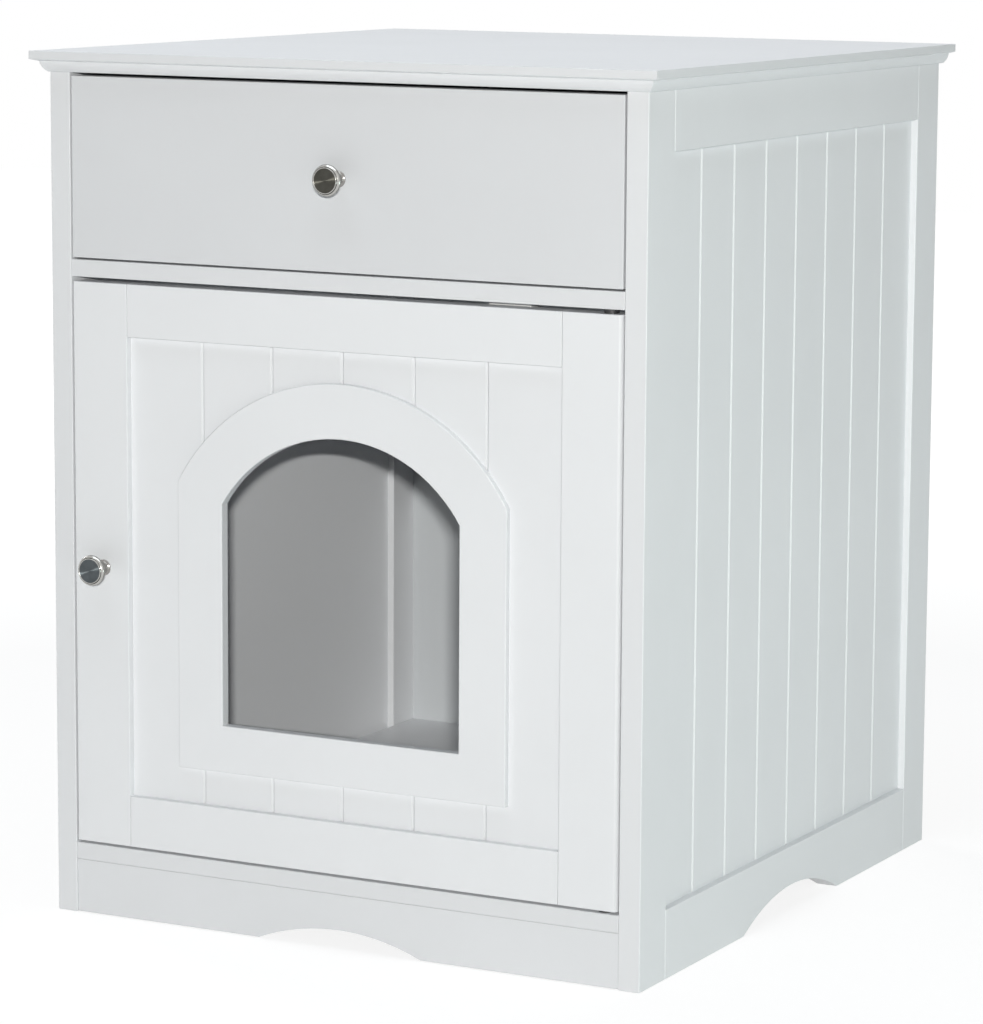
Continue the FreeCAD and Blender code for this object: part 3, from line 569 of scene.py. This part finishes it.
@dataclass(frozen=True)
class TurnedMetal:
    """Turned nickel: rings of fine tool marks about the knob's axis, and faint darker stains.

    Attributes:
        centre: A point on the knob's axis, which runs along the cabinet's depth.
        across: Keeps the way across the axis and drops the way along it.
        stain_shade: A stain's brightness, as a share of the colour.
    """

    name: str
    centre: Vector
    lustre: Lustre
    across: Triple = (1.0, 0.0, 1.0)
    rings: Pattern = Pattern(cells=5200.0, octaves=3.0, fineness=0.7)
    ring_relief: Relief = Relief(share=0.8, height=0.00001)
    stain: Pattern = Pattern(cells=260.0, octaves=3.0)
    stain_shade: float = 0.82

    def make(self) -> bpy.types.Material:
        """Build the material.

        Returns:
            The finished material.
        """
        graph = MaterialGraph(self.name)
        spoke = graph.stretched(self.across, tuple(self.centre))
        line = graph.add("CombineXYZ")
        graph.wire(graph.length(spoke), line.inputs["X"])
        rings = graph.noise(line.outputs[0], self.rings)
        stain = graph.ramp(graph.noise(graph.place(), self.stain))
        colour = self.lustre.colour
        return graph.surface(
            Base_Color=graph.mix(stain, scaled(colour, self.stain_shade), colour),
            Metallic=1.0,
            Roughness=graph.ramp(rings, self.lustre.rough),
            Normal=graph.bump(rings, self.ring_relief),
            Anisotropic=self.lustre.brushed,
            Tangent=spoke,
        )


@dataclass(frozen=True)
class Moulded:
    """Injection-moulded plastic or powder-coated steel with a fine even texture."""

    name: str
    colour: Colour
    rough: Span
    coat: float = 0.0
    grain: Pattern = Pattern(cells=1400.0, octaves=3.0)
    grain_relief: Relief = Relief(share=0.5, height=0.00002)
    cloud: Pattern = Pattern(cells=60.0, octaves=2.0)
    cloud_shade: float = 0.95

    def make(self) -> bpy.types.Material:
        """Build the material.

        Returns:
            The finished material.
        """
        graph = MaterialGraph(self.name)
        grain = graph.noise(graph.place(), self.grain)
        cloud = graph.ramp(graph.noise(graph.place(), self.cloud))
        return graph.surface(
            Base_Color=graph.mix(cloud, scaled(self.colour, self.cloud_shade), self.colour),
            Roughness=graph.ramp(grain, self.rough),
            Normal=graph.bump(grain, self.grain_relief),
            Coat_Weight=self.coat,
        )


@dataclass(frozen=True)
class Ferrite:
    """Sintered magnet: nearly black, with a coarse matt grain."""

    name: str
    colour: Colour = (0.035, 0.035, 0.038)
    grain: Pattern = Pattern(cells=1800.0, octaves=4.0, fineness=0.7)
    grain_gain: float = 1.8
    grain_relief: Relief = Relief(share=0.6, height=0.00006)
    rough: Span = (0.55, 0.8)

    def make(self) -> bpy.types.Material:
        """Build the material.

        Returns:
            The finished material.
        """
        graph = MaterialGraph(self.name)
        grain = graph.noise(graph.place(), self.grain)
        lighter = scaled(self.colour, self.grain_gain)
        return graph.surface(
            Base_Color=graph.mix(graph.ramp(grain), self.colour, lighter),
            Roughness=graph.ramp(grain, self.rough),
            Normal=graph.bump(grain, self.grain_relief),
        )


@dataclass(frozen=True)
class PaleFloor:
    """A matt floor that the camera sees as white, apart from the cabinet's shadow.

    Attributes:
        colour: The floor's colour for the light that it throws back at the cabinet.
        shadowed: Its colour under the lamps as the camera sees it, which holds the shadow.
        glow: The whiteness that is added to that by the cabinet, and far from it.
        fade: The distances from the cabinet's middle that these two belong to, in metres.
    """

    name: str
    colour: Colour = (0.92, 0.92, 0.92)
    shadowed: Colour = (0.24, 0.24, 0.24)
    glow: Span = (0.83, 1.0)
    fade: Span = (1.0, 2.2)

    def make(self) -> bpy.types.Material:
        """Build the material.

        Returns:
            The finished material.
        """
        graph = MaterialGraph(self.name)
        pale = graph.add("BsdfDiffuse", in_Color=opaque(self.colour))
        shade = graph.add("BsdfDiffuse", in_Color=opaque(self.shadowed))
        glow = graph.add("Emission")
        graph.wire(graph.ramp(graph.length(graph.place()), self.glow, self.fade),
                   glow.inputs["Strength"])
        white = graph.add("AddShader")
        graph.wire(glow.outputs[0], white.inputs[0])
        graph.wire(shade.outputs[0], white.inputs[1])
        graph.show(graph.when_seen(pale, white))
        return graph.material


@dataclass(frozen=True)
class Palette:
    """Every finish that more than one assembly wears."""

    front_paint: bpy.types.Material
    side_paint: bpy.types.Material
    level_paint: bpy.types.Material
    beech: bpy.types.Material
    zinc: bpy.types.Material
    runner: bpy.types.Material
    nylon: bpy.types.Material

    @classmethod
    def mixed(cls) -> "Palette":
        """Build the shared finishes.

        Returns:
            The palette.
        """
        return cls(
            front_paint=SatinPaint("front_paint", WHITE, Axis.DEPTH).make(),
            # The side frames get a lighter painted shade on their edges and groove walls.
            side_paint=SatinPaint("side_paint", WHITE, Axis.ACROSS, edge=0.935).make(),
            level_paint=SatinPaint("level_paint", WHITE, Axis.UP).make(),
            beech=Beech("beech").make(),
            zinc=PlatedSteel("zinc_plate").make(),
            runner=Moulded("runner_coat", (0.80, 0.80, 0.79), rough=(0.28, 0.38),
                           coat=0.2).make(),
            nylon=Moulded("white_nylon", (0.80, 0.80, 0.76), rough=(0.42, 0.55)).make(),
        )


# ------------------------------------------------------------------ assemblies
@dataclass
class Assembly:
    """One part of the cabinet: the frame's nodes by name, and the shared finishes."""

    nodes: dict[str, bpy.types.Object]
    palette: Palette

    def dress(self, finish: bpy.types.Material, *names: str) -> None:
        """Give the named nodes one finish.

        Args:
            finish: The material that they wear.
            *names: The nodes.
        """
        for name in names:
            mesh = self.nodes[name].data
            mesh.materials.clear()
            mesh.materials.append(finish)
            log.info("%s: %s", name, finish.name)


@dataclass
class Carcass(Assembly):
    """The fixed boards, the side frames, the catch and the cabinet's half of the runners."""

    toe_colour: Colour = (0.735, 0.745, 0.765)
    washers: Moulded = Moulded("dark_nylon", (0.03, 0.03, 0.032), rough=(0.4, 0.55))
    catch: Moulded = Moulded("catch_plastic", (0.80, 0.80, 0.79), rough=(0.2, 0.3), coat=0.3)

    def finish(self) -> None:
        """Dress every fixed node."""
        self.paint_outside()
        self.paint_compartment()
        self.fit_hardware()

    def paint_outside(self) -> None:
        """Paint the side frames and the boards that get no painted light on an inner face."""
        self.dress(self.palette.side_paint,
                   *sided("front_stile", "rear_stile", "top_rail", "bottom_rail"))
        self.dress(self.palette.level_paint, "top_panel")
        self.dress(self.palette.front_paint, "rear_bottom_rail")
        self.dress(SatinPaint("toe_paint", self.toe_colour, Axis.DEPTH).make(), "toe_board")

    def paint_compartment(self) -> None:
        """Paint the boards round the litter compartment, whose inner faces are made whiter as
        painted light.
        """
        for name, broad, inward in (
            ("left_side_panel", Axis.ACROSS, Axis.ACROSS.value),
            ("right_side_panel", Axis.ACROSS, -Axis.ACROSS.value),
            ("divider_board", Axis.UP, -Axis.UP.value),
            ("floor_board", Axis.UP, Axis.UP.value),
        ):
            self.dress(SatinPaint(name + "_paint", WHITE, broad, inward).make(), name)
        self.dress(BackingBoard("back_board", Axis.DEPTH.value).make(), "back_panel")

    def fit_hardware(self) -> None:
        """Dress the dowels, the metal fixings, the pivots, the catch and the rails."""
        self.dress(self.palette.beech, "side_frame_dowels", "board_dowels")
        self.dress(self.palette.zinc, "cam_bolts", "cam_locks", "back_panel_screws",
                   "pivot_pins", "catch_screws", "rail_rivets", "rail_screws")
        self.dress(self.washers.make(), "pivot_washers")
        self.dress(self.catch.make(), "catch_housing")
        self.dress(Ferrite("ferrite").make(), "catch_magnet")
        self.dress(self.palette.runner, *sided("runner_rail"))
        self.dress(self.palette.nylon, *sided("rail_roller"))


class Zone(Enum):
    """The zones of a knob, numbered as its material slots; their different colours are painted
    reflection.
    """

    POLISH = 0
    RIM = 1
    STEM = 2
    FACE = 3


class Corner(NamedTuple):
    """A corner of a knob's outline: its radius, its height over the board and its rounding."""

    radius: float
    height: float
    rounding: float


@dataclass
class TurnedKnob:
    """One turned nickel knob: flared base, neck, rim, shoulder, crease, lip and sunk face.

    Radii are measured from the knob's axis, and heights from the board that it stands on.
    The stem ends at stem_top, where the cove behind the rim opens out.
    """

    node: str
    body: str
    # The face's dark colour is painted reflection of a dark room.
    face_reflection_colour: Colour
    reach: float = 19.0 * MM
    base_radius: float = 5.9 * MM
    base_edge: float = 0.8 * MM
    flare_end: float = 3.2 * MM
    flare_sag: float = 0.4 * MM
    flare_rounding: float = 0.45 * MM
    neck_radius: float = 4.0 * MM
    neck_end: float = 9.5 * MM
    neck_rounding: float = 0.9 * MM
    stem_top: float = 11.4 * MM
    cove_sag: float = 0.9 * MM
    cove_rounding: float = 1.8 * MM
    back_radius: float = 10.6 * MM
    back_rounding: float = 0.63 * MM
    rim_back: float = 14.6 * MM
    rim_radius: float = 11.6 * MM
    rim_rounding: float = 0.9 * MM
    rim_front: float = 17.2 * MM
    shoulder_radius: float = 11.0 * MM
    shoulder_rounding: float = 0.45 * MM
    crease_radius: float = 9.6 * MM
    crease_height: float = 17.9 * MM
    crease_width: float = 0.3 * MM
    crease_depth: float = 0.3 * MM
    crease_rounding: float = 0.06 * MM
    lip_radius: float = 9.2 * MM
    lip_fall: float = 0.5 * MM
    face_radius: float = 8.8 * MM
    face_sink: float = 0.25 * MM
    edge_rounding: float = 0.12 * MM
    rounding_steps: int = 4
    turn_steps: int = 96
    weld: float = 0.001 * MM
    # The zones' colours are painted reflection of a dark room: the rim and the stem are darker than
    # the polish.
    polish: Lustre = Lustre((0.50, 0.495, 0.475), rough=(0.12, 0.22), brushed=0.4)
    rim: Lustre = Lustre((0.32, 0.317, 0.30), rough=(0.16, 0.26), brushed=0.4)
    stem: Lustre = Lustre((0.31, 0.30, 0.285), rough=(0.14, 0.24), brushed=0.4)
    face_rough: Span = (0.36, 0.42)
    face_brushed: float = 1.0

    def profile(self) -> list[Corner]:
        """Half the knob's outline, from its axis at the board to its axis at the face.

        Returns:
            The corners in order.
        """
        edge = self.edge_rounding
        sunk = self.reach - self.face_sink
        return [
            Corner(0.0, 0.0, 0.0),
            Corner(self.base_radius, 0.0, edge),
            Corner(self.base_radius, self.base_edge, edge),
            Corner((self.base_radius + self.neck_radius) / 2 - self.flare_sag,
                   (self.base_edge + self.flare_end) / 2 - self.flare_sag, self.flare_rounding),
            Corner(self.neck_radius, self.flare_end, self.flare_rounding),
            Corner(self.neck_radius, self.neck_end, self.neck_rounding),
            Corner((self.neck_radius + self.back_radius) / 2 - self.cove_sag,
                   (self.neck_end + self.rim_back) / 2 + self.cove_sag, self.cove_rounding),
            Corner(self.back_radius, self.rim_back, self.back_rounding),
            Corner(self.rim_radius, (self.rim_back + self.rim_front) / 2, self.rim_rounding),
            Corner(self.shoulder_radius, self.rim_front, self.shoulder_rounding),
            Corner(self.crease_radius + self.crease_width,
                   self.crease_height + self.crease_depth, edge),
            Corner(self.crease_radius, self.crease_height, self.crease_rounding),
            Corner(self.crease_radius - self.crease_width, self.reach - self.lip_fall, edge),
            Corner(self.lip_radius, self.reach, edge),
            Corner(self.face_radius, self.reach, edge),
            Corner(self.face_radius - self.face_sink, sunk, edge),
            Corner(0.0, sunk, 0.0),
        ]

    def zone_of(self, spot: Vector, centre: Vector) -> Zone:
        """Which zone a patch belongs to.

        Args:
            spot: The patch's middle.
            centre: Where the knob's axis meets the board.

        Returns:
            The patch's zone; the crease counts as rim, so it takes the rim's darker colour, which
            is painted shade in the crease.
        """
        height = centre.y - spot.y
        radius = math.hypot(spot.x - centre.x, spot.z - centre.z)
        if radius < self.face_radius - self.face_sink / 2 and height > self.crease_height:
            return Zone.FACE
        if height < self.stem_top:
            return Zone.STEM
        in_crease = abs(radius - self.crease_radius) < self.crease_width and height > self.rim_front
        on_rim = height < self.rim_front - self.crease_depth
        return Zone.RIM if in_crease or on_rim else Zone.POLISH

    def finishes(self, centre: Vector) -> list[TurnedMetal]:
        """The finish of each zone, whose colour is painted reflection.

        Args:
            centre: Where the knob's axis meets the board.

        Returns:
            The finishes, in the order of the zones.
        """
        face = Lustre(self.face_reflection_colour, self.face_rough, self.face_brushed)
        looks = {Zone.POLISH: self.polish, Zone.RIM: self.rim, Zone.STEM: self.stem,
                 Zone.FACE: face}
        return [TurnedMetal(f"{self.node}_{zone.name.lower()}", centre, looks[zone])
                for zone in Zone]

    def turned(self, centre: Vector) -> bmesh.types.BMesh:
        """Turn the outline about the knob's axis.

        Args:
            centre: Where the axis meets the board.

        Returns:
            The closed shape, with each patch in its zone's material slot.
        """
        shape = bmesh.new()
        outline = self.profile()
        points = [shape.verts.new(centre + Vector((corner.radius, -corner.height, 0.0)))
                  for corner in outline]
        for first, second in zip(points, points[1:]):
            shape.edges.new((first, second))
        for point, corner in list(zip(points, outline))[1:-1]:
            bmesh.ops.bevel(shape, geom=[point], offset=corner.rounding,
                            segments=self.rounding_steps, profile=0.5, affect="VERTICES",
                            material=-1)
        bmesh.ops.spin(shape, geom=shape.verts[:] + shape.edges[:], cent=centre,
                       axis=Axis.DEPTH.value, angle=2 * math.pi, steps=self.turn_steps,
                       use_merge=True)
        bmesh.ops.remove_doubles(shape, verts=shape.verts, dist=self.weld)
        bmesh.ops.recalc_face_normals(shape, faces=shape.faces)
        for face in shape.faces:
            face.smooth = True
            face.material_index = self.zone_of(face.calc_center_median(), centre).value
        return shape

    def build(self) -> bpy.types.Object:
        """Make the knob where its node stands, in front of the board.

        Returns:
            The finished piece.
        """
        low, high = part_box(self.node)
        centre = Vector(((low.x + high.x) / 2, high.y, (low.z + high.z) / 2))
        knob = set_out_shape(self.node + "_turned", self.turned(centre))
        for finish in self.finishes(centre):
            knob.data.materials.append(finish.make())
        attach(knob, self.body)
        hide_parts(self.node)
        log.info("%s: turned, %d faces", knob.name, len(knob.data.polygons))
        return knob


@dataclass
class Drawer(Assembly):
    """The drawer's box, front, knob and the half of the runners that it carries."""

    front_colour: Colour = (0.69, 0.70, 0.72)
    # The knob face's near-black colour is painted reflection of a dark room.
    knob_face_reflection: Colour = (0.090, 0.088, 0.076)

    def finish(self) -> None:
        """Dress the drawer and turn its knob."""
        self.dress(SatinPaint("drawer_paint", self.front_colour, Axis.DEPTH).make(),
                   "drawer_front")
        self.dress(self.palette.front_paint, "drawer_back")
        self.dress(self.palette.side_paint, *sided("drawer_side"))
        self.dress(BackingBoard("drawer_base_board", -Axis.UP.value).make(), "drawer_bottom")
        self.dress(self.palette.zinc, "drawer_knob_screw", "drawer_cam_bolts",
                   "drawer_cam_locks", "drawer_back_screws", "slide_rivets", "slide_screws")
        self.dress(self.palette.runner, *sided("drawer_slide"))
        self.dress(self.palette.nylon, *sided("slide_roller"))
        TurnedKnob("drawer_knob", "drawer", self.knob_face_reflection).build()


@dataclass
class Door(Assembly):
    """The framed door with its grooved panel, the surround of the doorway and the knob."""

    # The knob face's near-black colour is painted reflection of a dark room.
    knob_face_reflection: Colour = (0.115, 0.130, 0.138)

    def finish(self) -> None:
        """Dress the door and turn its knob."""
        self.dress(self.palette.front_paint, "door_hinge_stile", "door_knob_stile",
                   "door_top_rail", "door_bottom_rail", "arch_surround")
        # The panel's inner face is made whiter as painted light.
        panel = SatinPaint("door_panel_paint", WHITE, Axis.DEPTH, inward=Axis.DEPTH.value)
        self.dress(panel.make(), "door_panel")
        self.dress(self.palette.beech, "door_frame_dowels")
        self.dress(self.palette.zinc, "door_knob_screw", "strike_plate", "strike_screw")
        self.dress(self.palette.nylon, "pivot_bushings")
        TurnedKnob("door_knob", "door", self.knob_face_reflection).build()


# ---------------------------------------------------------------------- studio
@dataclass(frozen=True)
class SoftBox:
    """A flat lamp aimed at the cabinet.

    Attributes:
        azimuth: Degrees from straight in front, towards the cabinet's right side.
        elevation: Degrees above the point that it lights.
        distance: Metres from that point.
        size: Width and height in metres.
        power: Watts.
    """

    name: str
    azimuth: float
    elevation: float
    distance: float
    size: Span
    power: float
    colour: Colour = (1.0, 1.0, 1.0)

    def hang(self, target: Vector) -> None:
        """Hang the lamp and aim it.

        Args:
            target: The point that it lights.
        """
        turn, lift = math.radians(self.azimuth), math.radians(self.elevation)
        way = Vector((math.sin(turn) * math.cos(lift), -math.cos(turn) * math.cos(lift),
                      math.sin(lift)))
        lamp = bpy.data.lights.new(self.name, "AREA")
        lamp.shape = "RECTANGLE"
        lamp.size, lamp.size_y = self.size
        lamp.energy = self.power
        lamp.color = self.colour
        holder = set_out(self.name, lamp)
        holder.location = target + way * self.distance
        holder.rotation_euler = (-way).to_track_quat("-Z", "Y").to_euler()
        holder.visible_camera = False
        log.info("lamp %s", self.name)


@dataclass
class Studio:
    """The floor, the lamps, the sky and the camera.

    Attributes:
        aim: The point that the lamps light.
        eye: Where the camera stands.
        look: The point that the camera faces.
        roll: How far the camera leans, in degrees.
        sight: How far the camera sees, in metres.
    """

    floor_half: float = 6.0
    floor_squares: int = 4
    floor_drop: float = 0.3 * MM
    sky: Colour = (0.97, 0.985, 1.0)
    sky_level: float = 0.03
    backdrop: Colour = (1.0, 1.0, 1.0)
    backdrop_level: float = 1.0
    lamps: tuple[SoftBox, ...] = (
        SoftBox("key_lamp", azimuth=28.6, elevation=9.7, distance=5.0, size=(0.12, 0.03),
                power=156.0, colour=(1.0, 0.995, 0.96)),
        SoftBox("low_lamp", azimuth=80.0, elevation=-5.0, distance=1.7, size=(0.3, 0.3),
                power=3.6, colour=(0.80, 1.0, 0.943)),
        SoftBox("overhead_lamp", azimuth=10.0, elevation=82.0, distance=2.6, size=(2.4, 2.4),
                power=40.0, colour=(0.885, 0.95, 1.0)),
        SoftBox("rear_lamp", azimuth=245.0, elevation=25.0, distance=6.0, size=(1.6, 1.6),
                power=90.0),
    )
    aim: Triple = (0.0, 0.0, 0.32)
    eye: Triple = (1.42432, -2.69709, 0.76325)
    look: Triple = (0.03538, -0.002, 0.30594)
    roll: float = 0.4385
    lens: float = 142.645
    sensor: float = 36.0
    shift: Span = (-0.05266, -0.02518)
    sight: float = 50.0

    def lay_floor(self) -> None:
        """Lay a flat floor, a hair under the cabinet."""
        shape = bmesh.new()
        bmesh.ops.create_grid(shape, x_segments=self.floor_squares,
                              y_segments=self.floor_squares, size=self.floor_half,
                              matrix=Matrix.Translation((0.0, 0.0, -self.floor_drop)))
        floor = set_out_shape("studio_floor", shape)
        floor.data.materials.append(PaleFloor("studio_floor").make())

    def light_sky(self) -> None:
        """Make an even sky that lights the cabinet, and a white one that shows behind it."""
        world = bpy.data.worlds.new("studio_sky")
        bpy.context.scene.world = world
        world.use_nodes = True
        graph = Graph(world.node_tree, "OutputWorld")
        dim = graph.add("Background", in_Color=opaque(self.sky), in_Strength=self.sky_level)
        white = graph.add("Background", in_Color=opaque(self.backdrop),
                          in_Strength=self.backdrop_level)
        graph.show(graph.when_seen(dim, white))

    def hang_lamps(self) -> None:
        """Hang a hard lamp by the camera, a low one, one overhead and one behind."""
        for lamp in self.lamps:
            lamp.hang(Vector(self.aim))

    def set_camera(self) -> None:
        """Stand the camera where the photographer stood."""
        camera = bpy.data.cameras.new("camera")
        camera.lens = self.lens
        camera.sensor_width = self.sensor
        camera.shift_x, camera.shift_y = self.shift
        camera.clip_end = self.sight
        eye = Vector(self.eye)
        facing = (Vector(self.look) - eye).to_track_quat("-Z", "Y").to_matrix().to_4x4()
        turned = facing @ Matrix.Rotation(math.radians(self.roll), 4, "Z")
        holder = set_out("camera", camera)
        holder.matrix_world = Matrix.Translation(eye) @ turned
        bpy.context.scene.camera = holder

    def build(self) -> None:
        """Set the whole stage."""
        self.lay_floor()
        self.light_sky()
        self.hang_lamps()
        self.set_camera()
        bpy.context.scene.view_settings.view_transform = "Standard"


def main() -> None:
    """Load the frame, dress and build each assembly, and set the stage."""
    logging.basicConfig(level=logging.INFO, format="%(name)s: %(message)s")
    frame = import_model()
    palette = Palette.mixed()
    for assembly in (Carcass, Drawer, Door):
        assembly(frame["nodes"], palette).finish()
    Studio().build()


if __name__ == "__main__":
    main()
